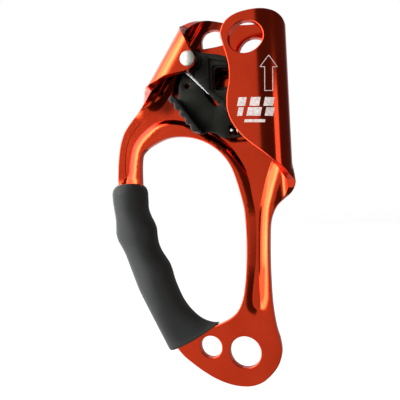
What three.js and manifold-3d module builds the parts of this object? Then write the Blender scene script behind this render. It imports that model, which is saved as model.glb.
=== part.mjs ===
// Handled ascender (rope clamp) for the left hand.
// Millimetres, +X right, +Y away from the viewer, +Z up along the rope.
// The origin lies on the rope's centre line, level with the cam's rivet.
import * as THREE from 'three';
import { mergeVertices } from 'three/addons/utils/BufferGeometryUtils.js';
import Module from 'manifold-3d';

const wasm = await Module();
wasm.setup();
const { Manifold, Mesh } = wasm;

// ---------- driving dimensions ----------
const GAP = 0.3;
const FAR = 20;
const SHEET = 4;
const CHANNEL_INNER = 7.25;
const CHANNEL_OUTER = CHANNEL_INNER + SHEET;
const PRESS_STEP = 3;
const RIM_FRONT = CHANNEL_INNER - PRESS_STEP;
const RIM_BACK = RIM_FRONT + SHEET;
const STEP_LAP = 2.2;
const FOLD_SPLIT = 0.4;
const LEAF_FRONT = 24;
const CHANNEL_LEAF_BACK = 26;
const CHANNEL_BOTTOM = -70;
const CHANNEL_LENGTH = 92;
const EAR_LEAF_BACK = 4;
const EAR_START = -8;
const EAR_LENGTH = 70;
const FLAT_LEFT = -60;
const FLAT_RIGHT = 1;
const FLAT_BOTTOM = -30;
const CHANNEL_FOOT = -52;

const PIVOT = new THREE.Vector3(-36, 0, 0);
const RIVET_SHANK = 2.5;
const RIVET_HEAD = 3.8;
const RIVET_DOME = 2.1;
const BACK_HEAD = 3.5;
const BACK_DOME = 1.1;
const RIVET_SEAT = 0.05;
const FRONT_RIM = 0.5;
const BACK_RIM = 0.4;
const BUSH_OUTER = 3.6;
const BUSH_HALF = 6.9;
const WASHER_OUTER = 5.6;
const WASHER_THICK = 0.5;
const FRONT_WASHER_AT = -6.95;
const BACK_WASHER_AT = 3.7;
const CAM_SPRING = { radius: 5.1, turns: 1.5, length: 1.5, wire: 0.4, steps: 16, at: 5.85 };
const RETURN_SPRING = { radius: 1.7, turns: 4.5, length: 5, wire: 0.33, steps: 9, at: 23.4 };

const CONNECTOR_RADIUS = 8;
const ACCESSORY_RADIUS = 5.65;
const TOP_FRONT_RADIUS = 7.9;
const TOP_BACK_RADIUS = 7.5;
const PINHOLE_RADIUS = 0.8;

const CAM_HALF_WIDTH = 6.2;
const CHEEK_THICK = 3;
const CAM_NOSE_HALF = 4.6;
const CAM_REACH = 42.2;
const CAM_SPIRAL = 0.268;
const CAM_FACE_TOP = -14;
const CAM_FACE_BOTTOM = -34;
const CAM_HUB = 5.8;
const TOOTH_HEIGHT = 1.2;
const TOOTH_BASE = 1;
const CHEEK_SETBACK = 3.6;
const TOOTH_ROWS = 6;
const TOOTH_PITCH = 3.1;
const TOOTH_SPACING = 3;
const TOOTH_ROOT = 0.8;
const TOOTH_LEAN = 0.3;
const POCKET_RIM = 2.6;
const OUTER_POCKET = { left: 9.2, top: 0.4, depth: 0.9 };
const INNER_POCKET = { left: 11.2, top: -4.4, depth: 1.9 };

const TRIGGER_THICK = 2.5;
const TRIGGER_FRONT = -CAM_HALF_WIDTH + CHEEK_THICK + GAP;
const TRIGGER_BACK = TRIGGER_FRONT + TRIGGER_THICK;
const BACK_CHEEK_FRONT = TRIGGER_BACK + GAP;
const BACK_CHEEK_BACK = 3.4;
const TRIGGER_PLAY = 3;
const PAD_FRONT = -13;
const PAD_LENGTH = 23;
const PAD_RIDGES = 5;
const PIN_PLAY = 0.15;
const GUIDE_PIN = 1.25;
const GUIDE_AT = [16.5, -21.5];
const SEAT_PIN = 0.7;
const SEAT_AT = [18.4, -35.7];
const SLOT_MARGIN = 0.3;
const CORD_HOLE = { x: -3.5, z: -11.2, radius: 1.2 };

const GRIP_CENTRE = RIM_FRONT + SHEET / 2;
const GRIP_FLAT = 10;
const GRIP_ROUND = 6;
const GRIP_TOP = -60.6;
const TONGUE_ROUND = 2.4;
const TONGUE_FLAT = 7;

// ---------- materials ----------
const paint = (color, roughness, metalness) =>
  new THREE.MeshStandardMaterial({ color, roughness, metalness });
const orangeAnodised = paint(0xc23a14, 0.3, 0.9);
const blackSteel = paint(0x1d1e1c, 0.5, 0.6);
const brightSteel = paint(0xc6c8c8, 0.28, 1);
const springSteel = paint(0xb4b6b5, 0.3, 1);
const bronze = paint(0x9a7a44, 0.4, 1);
const blackRubber = paint(0x17191a, 0.8, 0);

// ---------- solids and outlines ----------
function solid(geometry) {
  const bare = geometry.clone();
  bare.deleteAttribute('normal');
  bare.deleteAttribute('uv');
  const welded = mergeVertices(bare, 1e-4);
  return new Manifold(new Mesh({
    numProp: 3,
    vertProperties: new Float32Array(welded.attributes.position.array),
    triVerts: new Uint32Array(welded.index.array),
  }));
}

function geometryOf(body) {
  const mesh = body.getMesh();
  const geometry = new THREE.BufferGeometry();
  geometry.setAttribute('position', new THREE.BufferAttribute(mesh.vertProperties, 3));
  geometry.setIndex(new THREE.BufferAttribute(mesh.triVerts, 1));
  geometry.computeVertexNormals();
  return geometry;
}

const join = (bodies) => bodies.reduce((sum, body) => sum.add(body));

// A run of [x, z] points drawn as a spline, or as straight lines where asked.
function curved(points) {
  const spline = new THREE.SplineCurve(points.map(([x, z]) => new THREE.Vector2(x, z)));
  return spline.getPoints((points.length - 1) * 2);
}

function straight(points) {
  return points.map(([x, z]) => new THREE.Vector2(x, z));
}

function outline(...runs) {
  return new THREE.Shape(runs.flat());
}

function arc(x, z, radius, from, to, steps) {
  const points = [];
  for (let i = 0; i <= steps; i += 1) {
    const angle = THREE.MathUtils.degToRad(from + ((to - from) * i) / steps);
    points.push(new THREE.Vector2(x + radius * Math.cos(angle), z + radius * Math.sin(angle)));
  }
  return points;
}

// An XZ outline extruded along Y from yFront to yBack.
function plate(shape, yFront, yBack) {
  const geometry = new THREE.ExtrudeGeometry(shape, { depth: yBack - yFront, bevelEnabled: false });
  geometry.rotateX(Math.PI / 2);
  geometry.translate(0, yBack, 0);
  return solid(geometry);
}

function rod(x, z, radius, yFront, yBack, sides = 24) {
  const geometry = new THREE.CylinderGeometry(radius, radius, yBack - yFront, sides);
  geometry.translate(x, (yFront + yBack) / 2, z);
  return solid(geometry);
}

function block(x0, x1, y0, y1, z0, z1) {
  const geometry = new THREE.BoxGeometry(x1 - x0, y1 - y0, z1 - z0);
  geometry.translate((x0 + x1) / 2, (y0 + y1) / 2, (z0 + z1) / 2);
  return solid(geometry);
}

// An outline moved outwards (or inwards, when negative) by the same distance all round.
function grown(shape, distance) {
  const points = shape.getPoints(1);
  const sign = THREE.ShapeUtils.isClockWise(points) ? -1 : 1;
  return new THREE.Shape(points.map((point, i) => {
    const before = points[(i + points.length - 1) % points.length];
    const after = points[(i + 1) % points.length];
    const along = after.clone().sub(before).normalize();
    return new THREE.Vector2(point.x + sign * distance * along.y, point.y - sign * distance * along.x);
  }));
}

// The profile of a sheet bent round an axis: two flat leaves and a half ring.
function foldedProfile(frontLeaf, backLeaf) {
  const inner = CHANNEL_INNER;
  const outer = CHANNEL_OUTER;
  return outline(
    straight([[-frontLeaf, -inner], [-frontLeaf, -outer]]),
    arc(0, 0, outer, -90, 90, 14),
    straight([[-backLeaf, outer], [-backLeaf, inner]]),
    arc(0, 0, inner, 90, -90, 12),
  );
}

// ---------- frame ----------
const WING_CORNER = [[12.5, 13], [10.3, 16.1], [6.8, 18.1], [0, 19.3]];

const wingOutline = outline(
  curved([...WING_CORNER, [-9.8, 19], [-15.8, 16.2], [-18.8, 10.6], [-17.8, 4.8], [-15.6, -5],
    [-15.5, -13], [-16.9, -20], [-17, -27], [-14.8, -33.8], [-9.4, -41.2], [-1, -48.4], [8, -55.4],
    [12.6, -61]]),
);

const FOLD_TOP = new THREE.Vector2(-26, 24);
const FOLD_ALONG = new THREE.Vector2(-0.566, -0.824).normalize();
const FOLD_SIDE = new THREE.Vector2(FOLD_ALONG.y, -FOLD_ALONG.x);
const foldPoint = (down, left) => [
  FOLD_TOP.x + FOLD_ALONG.x * down + FOLD_SIDE.x * left,
  FOLD_TOP.y + FOLD_ALONG.y * down + FOLD_SIDE.y * left,
];

const earOutline = outline(
  straight([foldPoint(8.5, 14), [-42.5, 21.5], [-38.3, 15.7], [-36.4, 11], [-34.4, 7], [-32.6, 3.6]]),
  curved([[-31.7, 0.9], [-32.3, -1.9], [-34.4, -4.2], [-38, -5.5], [-43.8, -6], [-48.4, -6.8],
    [-53.3, -8.4], [-58, -9.8]]),
  straight([[-66, -12]]),
);

const foldBackOutline = outline(
  straight([foldPoint(0, -8), foldPoint(0, 0), [-30.6, 25.8], [-34.8, 25.3], [-38.6, 24.2], [-42.5, 21.5],
    foldPoint(10, 14), foldPoint(44, 14), foldPoint(49, 10), foldPoint(53, 8.9), foldPoint(58, 9),
    foldPoint(59, -8)]),
);

const LEFT_POST = [[-64, -15], [-67.4, -20.2], [-71, -23.6], [-74.8, -26.8], [-78.4, -31.2], [-81.2, -37],
  [-83, -44], [-84, -52], [-84.2, -61], [-83.4, -75], [-80.4, -91], [-75.2, -106.5], [-68.6, -121],
  [-61.5, -135]];
const LOBE = [[-53, -148.4], [-45, -155.4], [-35, -161.5], [-25.6, -165], [-16.8, -165.6], [-10, -163.5],
  [-4.8, -159.2], [-0.6, -153.6], [1.2, -147.6], [0.8, -141.5], [-1, -134.2], [-2.1, -124.2],
  [-2.4, -108], [-2, -91.3], [-1.2, -82.4], [1.4, -75.6], [6, -70], [10.4, -66.6], [12.4, -62]];

const bodyOutline = outline(curved([...LEFT_POST, ...LOBE]), straight([[11.6, -57], [2, -49], [-30, -14]]));

const handHole = outline(
  curved([[-69.4, -61], [-68.7, -45.6], [-65.8, -41], [-60.4, -37.2], [-53.5, -35], [-46.2, -34.9],
    [-38, -36.8], [-30, -40.6], [-23.8, -46.2], [-19.6, -53], [-16.9, -61.3], [-15.1, -69], [-13.6, -77],
    [-13.2, -91], [-13.8, -103.1], [-15.3, -114.3], [-17.6, -122.8], [-21.8, -128.9], [-28.3, -133.2],
    [-36, -135.6], [-42.5, -132.6], [-48.5, -126.4], [-53.6, -118], [-58.6, -107.4], [-63, -95.6],
    [-67, -83], [-69.4, -71.4]]),
);

// The pressed-in floor: the cam's back plate and the two grooves that run on from it.
const POST_GROOVE_OUTER = [[-64.6, -24.9], [-67.8, -27.9], [-71.8, -31.9], [-75.6, -36.5], [-77.8, -41],
  [-78.9, -47.2], [-79, -52.6], [-77.2, -54.8], [-75.4, -52.6]];
const HOLE_RIM = [[-73.6, -41], [-69.6, -34.8], [-64.8, -30.9], [-59.6, -28.4], [-52.6, -27.6],
  [-44.6, -28.4], [-36, -31.4], [-28, -36.6], [-21.2, -43.3], [-14, -52.8], [-9.9, -65], [-8.8, -82.5],
  [-9.3, -99], [-11, -114.6], [-11.9, -121.6]];
const SPINE_GROOVE_RIGHT = [[-9.4, -126.2], [-7.2, -122], [-7.5, -108], [-7.1, -91], [-5.6, -74],
  [-2.4, -61.4], [2, -52.4], [7, -46]];

const floorArea = outline(
  straight([[-58, -8]]),
  curved([...POST_GROOVE_OUTER, ...HOLE_RIM, ...SPINE_GROOVE_RIGHT]),
  straight([[14, -40], [14, -8]]),
);

const backPlateOutline = outline(
  straight([[12.5, -70], ...WING_CORNER.slice(0, 1)]),
  curved([...WING_CORNER, [-7, 19.2], [-14.4, 20.2], [-20, 21.8], foldPoint(0, 0)]),
  straight([foldPoint(0, 0.8), foldPoint(50, 0.8), [-62, -17.5], [-66, -19.4]]),
  curved(POST_GROOVE_OUTER),
);

function frontHoles() {
  return [
    rod(-17.3, -148, CONNECTOR_RADIUS, -FAR, FAR, 40),
    rod(-35.2, -145.9, ACCESSORY_RADIUS, -FAR, FAR, 32),
    rod(-6.7, 6.8, TOP_FRONT_RADIUS, -FAR, 0, 36),
    rod(-6.4, 4.9, TOP_BACK_RADIUS, 0, FAR, 36),
    rod(PIVOT.x, PIVOT.z, RIVET_SHANK + GAP, -FAR, FAR, 24),
    rod(-30.6, -138, PINHOLE_RADIUS, -FAR, FAR, 8),
  ];
}

function topWindow() {
  const shape = outline(
    curved([[-33.5, 11], [-33.3, 15.2], [-31, 18.6], [-27, 19.5], [-23.4, 18], [-21.6, 14.6],
      [-21.8, 11]]),
  );
  return plate(shape, 0, FAR);
}

function channel() {
  const profile = foldedProfile(LEAF_FRONT, CHANNEL_LEAF_BACK);
  const geometry = new THREE.ExtrudeGeometry(profile, { depth: CHANNEL_LENGTH, bevelEnabled: false });
  geometry.translate(0, 0, CHANNEL_BOTTOM);
  const keep = plate(wingOutline, -FAR, FOLD_SPLIT).add(plate(backPlateOutline, FOLD_SPLIT, FAR));
  return solid(geometry).intersect(keep);
}

function ear() {
  const profile = foldedProfile(LEAF_FRONT, EAR_LEAF_BACK);
  const geometry = new THREE.ExtrudeGeometry(profile, { depth: EAR_LENGTH, bevelEnabled: false });
  const left = new THREE.Vector3(FOLD_SIDE.x, 0, FOLD_SIDE.y);
  const depth = new THREE.Vector3(0, 1, 0);
  const along = new THREE.Vector3().crossVectors(left, depth);
  const place = new THREE.Matrix4().makeBasis(left, depth, along);
  place.setPosition(FOLD_TOP.x + EAR_START * along.x, 0, FOLD_TOP.y + EAR_START * along.z);
  geometry.applyMatrix4(place);
  const keep = plate(earOutline, -FAR, FOLD_SPLIT).add(plate(foldBackOutline, FOLD_SPLIT, FAR));
  return solid(geometry).intersect(keep);
}

function frame() {
  const hole = plate(handHole, -FAR, FAR);
  const rims = plate(bodyOutline, RIM_FRONT, RIM_BACK).subtract(plate(floorArea, 0, FAR));
  const floorReach = plate(grown(floorArea, STEP_LAP), 0, FAR);
  const body = plate(bodyOutline, CHANNEL_INNER, CHANNEL_OUTER);
  const upper = plate(backPlateOutline, CHANNEL_INNER, CHANNEL_OUTER);
  const upperFlat = block(FLAT_LEFT, FLAT_RIGHT, 0, FAR, FLAT_BOTTOM, 2 * FAR);
  const besideChannel = block(FLAT_RIGHT, 2 * FAR, 0, FAR, CHANNEL_FOOT, 2 * FAR);
  const upperKept = upper.intersect(floorReach.add(upperFlat)).subtract(besideChannel);
  const cuts = join([hole, topWindow(), ...frontHoles()]);
  return join([rims, body.intersect(floorReach), upperKept, channel(), ear()]).subtract(cuts);
}

// ---------- grip ----------
const gripCore = outline(
  curved([[-81, -58], [-80.4, -78], [-78.6, -90], [-74, -105.5], [-68, -118.5], [-62, -130.5], [-56.6, -140],
    [-53.6, -143]]),
  curved([[-48, -138.4], [-42.6, -135.4], [-47, -131], [-52.6, -124.4], [-58.6, -112.4],
    [-64.2, -100.6], [-68.6, -88.4], [-72.4, -76], [-73.8, -58]]),
);

// The thin end of the grip, along the lower edge of the hand opening.
const gripTongue = outline(
  curved([[-48, -134], [-40, -134.2], [-31, -135.2], [-38, -137.6], [-48, -142]]),
);

function rounded(shape, flat, round) {
  const geometry = new THREE.ExtrudeGeometry(shape, {
    depth: flat,
    bevelThickness: round,
    bevelSize: round,
    bevelSegments: 3,
  });
  geometry.rotateX(Math.PI / 2);
  geometry.translate(0, GRIP_CENTRE + flat / 2, 0);
  return solid(geometry);
}

function grip() {
  const rubber = rounded(gripCore, GRIP_FLAT, GRIP_ROUND)
    .add(rounded(gripTongue, TONGUE_FLAT, TONGUE_ROUND));
  const aboveTop = block(-100, -50, -FAR, 2 * FAR, GRIP_TOP, -30);
  const slot = plate(grown(bodyOutline, GAP), RIM_FRONT - GAP, RIM_BACK + GAP);
  const slotWeb = slot.subtract(plate(grown(handHole, -GAP), 0, FAR));
  return rubber.subtract(aboveTop).subtract(slotWeb);
}

// ---------- cam (all points from the pivot) ----------
function camRadius(degrees) {
  return CAM_REACH * Math.exp(-CAM_SPIRAL * THREE.MathUtils.degToRad(degrees + 15));
}

function camFace(steps, setback = 0) {
  const points = [];
  for (let i = 0; i <= steps; i += 1) {
    const degrees = CAM_FACE_BOTTOM + ((CAM_FACE_TOP - CAM_FACE_BOTTOM) * i) / steps;
    points.push(arc(0, 0, camRadius(degrees) - setback, degrees, degrees, 1)[0]);
  }
  return points;
}

const CAM_TOP_EDGE = [[30, -4.4], [17.8, 0.3], [13.8, 1.9], [4.2, 4]];

const cheekOutline = outline(
  arc(0, 0, CAM_HUB, 55, 222, 12),
  straight([[17, -26.7], [20.4, -30.2], [25, -31], [31, -28.6]]),
  camFace(8, CHEEK_SETBACK),
  straight(CAM_TOP_EDGE),
);

const backCheekOutline = outline(
  arc(0, 0, CAM_HUB, 55, 232, 12),
  straight([[7.5, -13.2], [12, -20], [13.6, -26], [16.2, -33.8], [17, -37.4], [19.6, -37.4], [19.8, -33],
    [24.4, -29.8], [32, -29.2]]),
  camFace(8),
  straight(CAM_TOP_EDGE),
);

const camBlockOutline = outline(
  straight([[30, -12.5], [28, -17], [29, -24], [33, -27.6]]),
  camFace(8),
  straight([[37, -9]]),
);

function tooth(degrees, y) {
  const radius = camRadius(degrees);
  const angle = THREE.MathUtils.degToRad(degrees);
  const height = TOOTH_HEIGHT + TOOTH_ROOT;
  const cone = new THREE.ConeGeometry(TOOTH_BASE, height, 5);
  cone.rotateZ(-Math.PI / 2);
  cone.translate(height / 2 - TOOTH_ROOT, 0, 0);
  cone.rotateY(-angle + TOOTH_LEAN);
  cone.translate(radius * Math.cos(angle), y, radius * Math.sin(angle));
  return solid(cone);
}

function camTeeth() {
  const teeth = [];
  for (let row = 0; row < TOOTH_ROWS; row += 1) {
    const columns = row % 2 ? 2 : 3;
    const degrees = CAM_FACE_TOP - 2.2 - row * TOOTH_PITCH;
    for (let column = 0; column < columns; column += 1) {
      teeth.push(tooth(degrees, (column - (columns - 1) / 2) * TOOTH_SPACING));
    }
  }
  return join(teeth);
}

const pocketOutline = outline(straight([[9, 3], [9, -16.4], [30, -35], [40, -22], [40, 3]]));

const camWindow = outline(
  arc(14.8, -9.8, 2, 180, 90, 4),
  straight([[24, -7.8], [24, -15.5], [13.6, -15.5], [12.8, -14.7]]),
);

function cam() {
  const front = -CAM_HALF_WIDTH;
  const cheek = plate(cheekOutline, front, front + CHEEK_THICK);
  const backCheek = plate(backCheekOutline, BACK_CHEEK_FRONT, BACK_CHEEK_BACK);
  const nose = plate(camBlockOutline, -CAM_NOSE_HALF, CAM_NOSE_HALF);
  const [outer, inner] = [OUTER_POCKET, INNER_POCKET].map(({ left, top, depth }) => (
    block(left, CAM_REACH, front - 1, front + depth, -FAR, top)));
  const pockets = outer.add(inner).intersect(plate(pocketOutline, -FAR, FAR))
    .intersect(plate(grown(cheekOutline, -POCKET_RIM), -FAR, FAR));
  const window = plate(camWindow, -FAR, FAR);
  const bore = rod(0, 0, BUSH_OUTER + GAP, -FAR, FAR);
  const pinHole = rod(...GUIDE_AT, GUIDE_PIN + PIN_PLAY, -FAR, FAR, 16);
  const seatHole = rod(...SEAT_AT, SEAT_PIN + PIN_PLAY, -FAR, FAR, 12);
  const cuts = join([pockets, window, bore, pinHole, seatHole]);
  return join([cheek, backCheek, nose, camTeeth()]).subtract(cuts);
}

// ---------- trigger (all points from the pivot) ----------
const PAD_START = new THREE.Vector2(-8.7, -17);
const PAD_ALONG = new THREE.Vector2(0.575, -0.818);
const PAD_OUT = new THREE.Vector2(-0.818, -0.575);
const padPoint = (along, out) => [
  PAD_START.x + PAD_ALONG.x * along + PAD_OUT.x * out,
  PAD_START.y + PAD_ALONG.y * along + PAD_OUT.y * out,
];
const PAD_COVER = 1.7;
const PAD_GROOVE = 0.9;
const PAD_END = 0.4;
const FLANGE_INNER = PAD_COVER + 0.2;
const FLANGE_OUTER = FLANGE_INNER + 1.5;

const triggerOutline = outline(
  arc(0, 0, 5.3, 20, 200, 12),
  straight([[-5.8, -4.7], [-7.9, -10], [-8.2, -14.4], padPoint(0, 0.6), padPoint(1.2, FLANGE_OUTER),
    padPoint(PAD_LENGTH, FLANGE_OUTER), padPoint(PAD_LENGTH, 0), [7.8, -35.7], [10.1, -36.4], [14.2, -39.4],
    [28.5, -39.4], [28.5, -32], [23.4, -31.2], [22.6, -25], [21.2, -19.6], [17.5, -17], [11.6, -16.4],
    [8.2, -9.6]]),
);

const springBayOutline = outline(straight([[17.5, -38.2], [27, -38.2], [27, -33.2], [17.5, -33.2]]));

const triggerWindow = outline(
  curved([[4.6, -14], [8.4, -16.6], [11.9, -22.6], [11.4, -24.8], [9.2, -24.2], [5.6, -18.6], [4.6, -14]])
    .slice(0, -1),
);

function triggerSlot() {
  const radius = Math.hypot(...GUIDE_AT);
  const rest = THREE.MathUtils.radToDeg(Math.atan2(GUIDE_AT[1], GUIDE_AT[0]));
  const from = rest - SLOT_MARGIN;
  const to = rest + TRIGGER_PLAY + SLOT_MARGIN;
  const reach = GUIDE_PIN + GAP;
  const outer = arc(0, 0, radius + reach, from, to, 3);
  const inner = arc(0, 0, radius - reach, to, from, 3);
  const sweep = plate(outline(outer, inner), -FAR, FAR);
  const ends = arc(0, 0, radius, from, to, 1).map(({ x, y }) => rod(x, y, reach, -FAR, FAR, 16));
  return join([sweep, ...ends]);
}

function trigger() {
  const sheet = plate(triggerOutline, TRIGGER_FRONT, TRIGGER_BACK);
  const flange = plate(outline(straight([
    padPoint(1.2, FLANGE_OUTER),
    padPoint(PAD_LENGTH - 1, FLANGE_OUTER),
    padPoint(PAD_LENGTH, FLANGE_INNER),
    padPoint(0.2, FLANGE_INNER),
  ])), PAD_FRONT + 0.6, TRIGGER_BACK);
  const cordHole = rod(CORD_HOLE.x, CORD_HOLE.z, CORD_HOLE.radius, -FAR, FAR, 12);
  const window = plate(triggerWindow, -FAR, FAR);
  const bore = rod(0, 0, BUSH_OUTER + GAP, -FAR, FAR);
  const springBay = plate(springBayOutline, -FAR, FAR);
  return sheet.add(flange).subtract(join([cordHole, window, bore, springBay, triggerSlot()]));
}

function thumbPad() {
  const pitch = PAD_LENGTH / PAD_RIDGES;
  const steps = [];
  for (let i = 0; i < PAD_RIDGES; i += 1) {
    const start = PAD_END + i * pitch;
    steps.push(
      padPoint(start, PAD_GROOVE),
      padPoint(start + PAD_END, 0),
      padPoint(start + pitch * 0.5, 0),
      padPoint(start + pitch * 0.62, PAD_GROOVE),
    );
  }
  const end = PAD_LENGTH - PAD_END / 2;
  const back = [padPoint(end, PAD_GROOVE), padPoint(end, PAD_COVER), padPoint(PAD_END, PAD_COVER)];
  return plate(outline(straight([...steps, ...back])), PAD_FRONT, TRIGGER_FRONT - GAP);
}

// ---------- pivot stack, pins and springs ----------
function lathe(profile, sides) {
  const geometry = new THREE.LatheGeometry(profile.map(([r, y]) => new THREE.Vector2(r, y)), sides);
  return solid(geometry);
}

function dome(radius, height, steps) {
  const points = [];
  for (let i = 0; i <= steps; i += 1) {
    const angle = (Math.PI / 2) * (i / steps);
    points.push([radius * Math.sin(angle), height * Math.cos(angle)]);
  }
  return points;
}

function pivotRivet() {
  const seat = CHANNEL_OUTER + RIVET_SEAT;
  const frontRim = seat + FRONT_RIM;
  const backRim = seat + BACK_RIM;
  const front = dome(RIVET_HEAD, RIVET_DOME - FRONT_RIM, 5).map(([r, h]) => [r, -frontRim - h]);
  const back = dome(BACK_HEAD, BACK_DOME - BACK_RIM, 4).map(([r, h]) => [r, backRim + h]).reverse();
  const shank = [[RIVET_HEAD, -seat], [RIVET_SHANK, -seat], [RIVET_SHANK, seat], [BACK_HEAD, seat]];
  return lathe([...front, ...shank, ...back], 32);
}

function ring(inner, outer, yFront, yBack) {
  return rod(0, 0, outer, yFront, yBack, 28).subtract(rod(0, 0, inner, -FAR, FAR, 28));
}

class Helix extends THREE.Curve {
  constructor(radius, turns, length) {
    super();
    Object.assign(this, { radius, turns, length });
  }

  getPoint(t, target = new THREE.Vector3()) {
    const angle = 2 * Math.PI * this.turns * t;
    return target.set(this.radius * Math.cos(angle), this.length * (t - 0.5), this.radius * Math.sin(angle));
  }
}

function coil({ radius, turns, length, wire, steps }) {
  const section = new THREE.Shape();
  section.absarc(0, 0, wire, 0, 2 * Math.PI);
  return new THREE.ExtrudeGeometry(section, {
    steps: Math.round(turns * steps),
    curveSegments: 3,
    extrudePath: new Helix(radius, turns, length),
  });
}

function camSpring() {
  const geometry = coil(CAM_SPRING);
  geometry.translate(0, CAM_SPRING.at, 0);
  return solid(geometry);
}

function returnSpring() {
  const geometry = coil(RETURN_SPRING);
  geometry.rotateZ(Math.PI / 2);
  geometry.translate(RETURN_SPRING.at, (TRIGGER_FRONT + TRIGGER_BACK) / 2, SEAT_AT[1]);
  return solid(geometry);
}

const bush = () => ring(RIVET_SHANK + GAP, BUSH_OUTER, -BUSH_HALF, BUSH_HALF);
const washer = (y) => ring(BUSH_OUTER + GAP, WASHER_OUTER, y, y + WASHER_THICK);
const guidePin = () => rod(...GUIDE_AT, GUIDE_PIN, -CAM_HALF_WIDTH + 0.2, BACK_CHEEK_BACK - 0.2, 16);
const seatPin = () => rod(...SEAT_AT, SEAT_PIN, TRIGGER_FRONT + 0.2, BACK_CHEEK_BACK, 12);

// ---------- assembly ----------
const ascender = new THREE.Group();

function add(parent, name, body, material) {
  const mesh = new THREE.Mesh(geometryOf(body), material);
  mesh.name = name;
  parent.add(mesh);
}

const pivotGroup = new THREE.Group();
pivotGroup.position.copy(PIVOT);
ascender.add(pivotGroup);

add(ascender, 'frame_plate', frame(), orangeAnodised);
add(ascender, 'handle_grip', grip(), blackRubber);
add(pivotGroup, 'cam_body', cam(), blackSteel);
add(pivotGroup, 'cam_pivot_rivet', pivotRivet(), brightSteel);
add(pivotGroup, 'cam_pivot_bush', bush(), bronze);
add(pivotGroup, 'cam_front_washer', washer(FRONT_WASHER_AT), brightSteel);
add(pivotGroup, 'cam_back_washer', washer(BACK_WASHER_AT), brightSteel);
add(pivotGroup, 'cam_torsion_spring', camSpring(), springSteel);
add(pivotGroup, 'trigger_lever', trigger(), blackSteel);
add(pivotGroup, 'trigger_thumb_pad', thumbPad(), blackRubber);
add(pivotGroup, 'trigger_guide_pin', guidePin(), brightSteel);
add(pivotGroup, 'spring_seat_pin', seatPin(), brightSteel);
add(pivotGroup, 'trigger_return_spring', returnSpring(), springSteel);

export default ascender;
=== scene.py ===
"""Looks of a left-hand handled rope ascender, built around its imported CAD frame."""
import math

import bmesh
import bpy
import numpy as np
from mathutils import Matrix, Vector
from mathutils.geometry import delaunay_2d_cdt
from mathutils.kdtree import KDTree


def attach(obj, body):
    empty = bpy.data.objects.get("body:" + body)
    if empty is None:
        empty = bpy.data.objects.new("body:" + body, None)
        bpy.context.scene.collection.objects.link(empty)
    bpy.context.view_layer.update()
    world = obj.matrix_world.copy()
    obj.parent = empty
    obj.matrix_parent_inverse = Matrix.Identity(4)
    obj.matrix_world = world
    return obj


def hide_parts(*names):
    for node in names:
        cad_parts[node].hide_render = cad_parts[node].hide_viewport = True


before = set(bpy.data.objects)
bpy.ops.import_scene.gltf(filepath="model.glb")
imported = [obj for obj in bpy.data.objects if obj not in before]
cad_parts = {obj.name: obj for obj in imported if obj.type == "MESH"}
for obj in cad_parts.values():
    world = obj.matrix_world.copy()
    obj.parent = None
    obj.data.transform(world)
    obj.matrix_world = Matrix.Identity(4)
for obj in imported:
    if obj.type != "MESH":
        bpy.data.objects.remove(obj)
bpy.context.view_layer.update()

MM = 0.001

# ---------- sizes, in millimetres ----------
SHEET = 4.0
EDGE_ROUND = 0.45
CHANNEL_INNER = 7.25
BEND_MID = CHANNEL_INNER + SHEET / 2
HALF_TURN = math.pi * BEND_MID
# The bend is a little tighter than BEND_MID, and eases into the front leaf over EASE to each side.
BEND_TIGHTER = 0.985
EASE = 4.0
PRESS_STEP = 3.0
# Widths of the pressed walls beside the left post, the hand hole and the spine.
POST_WALL, HOLE_WALL, SPINE_WALL = 5.0, 3.8, 6.2
# Where the channel's foot leaves the back plate, and how tightly it curls forwards.
FOOT_FLAT, FOOT_RADIUS = 4.6, 5.65
PIVOT = np.array([-36.0, 0.0])

# The ear's bend line: where it starts, along it, and across it towards the ear.
FOLD_TOP = np.array([-26.0, 24.0])
FOLD_ALONG = np.array([-0.566, -0.824]) / math.hypot(0.566, 0.824)
FOLD_SIDE = np.array([FOLD_ALONG[1], -FOLD_ALONG[0]])


# ---------- curves ----------
def catmull(nodes, i, t, closed=False):
    """The Catmull-Rom curve's point at share t of the way from node i to the next."""
    count = len(nodes)
    if closed:
        a, b, c, d = (nodes[(i + k) % count] for k in (-1, 0, 1, 2))
    else:
        b, c = nodes[i], nodes[i + 1]
        a = nodes[i - 1] if i else 2 * b - c
        d = nodes[i + 2] if i + 2 < count else 2 * c - b
    return 0.5 * (2 * b + (c - a) * t + (2 * a - 5 * b + 4 * c - d) * t**2 + (3 * b - a - 3 * c + d) * t**3)


def spline(points, spacing, closed=False):
    """Points along a Catmull-Rom curve through the given ones, about one spacing apart."""
    nodes = np.asarray(points, float)
    count = len(nodes)
    found = []
    for i in range(count if closed else count - 1):
        gap = float(np.linalg.norm(nodes[(i + 1) % count] - nodes[i]))
        steps = max(1, round(gap / spacing))
        found += [catmull(nodes, i, k / steps, closed) for k in range(steps)]
    if not closed:
        found.append(nodes[-1])
    return np.array(found)


def resampled(nodes, places):
    """The curve's points at fractional places along the nodes."""
    starts = [min(int(place), len(nodes) - 2) for place in places]
    return np.array([catmull(nodes, i, place - i) for i, place in zip(starts, places)])


def ring(x, z, radius, steps, stretch=1.0):
    """A closed circle of points, or an ellipse where it is stretched in x."""
    turn = np.linspace(0, 2 * math.pi, steps, endpoint=False)
    return np.stack([x + stretch * radius * np.cos(turn), z + radius * np.sin(turn)], axis=1)


def smooth(low, high, value):
    """0 up to low and 1 from high on, with an S-shaped rise between."""
    t = np.clip((value - low) / (high - low), 0, 1)
    return t * t * (3 - 2 * t)


def wound(loop, way):
    """The loop, run counter-clockwise where way is 1 and clockwise where it is -1."""
    x, z = loop[:, 0], loop[:, 1]
    area = float(np.sum(x * np.roll(z, -1) - np.roll(x, -1) * z))
    return loop if area * way > 0 else loop[::-1]


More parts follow.
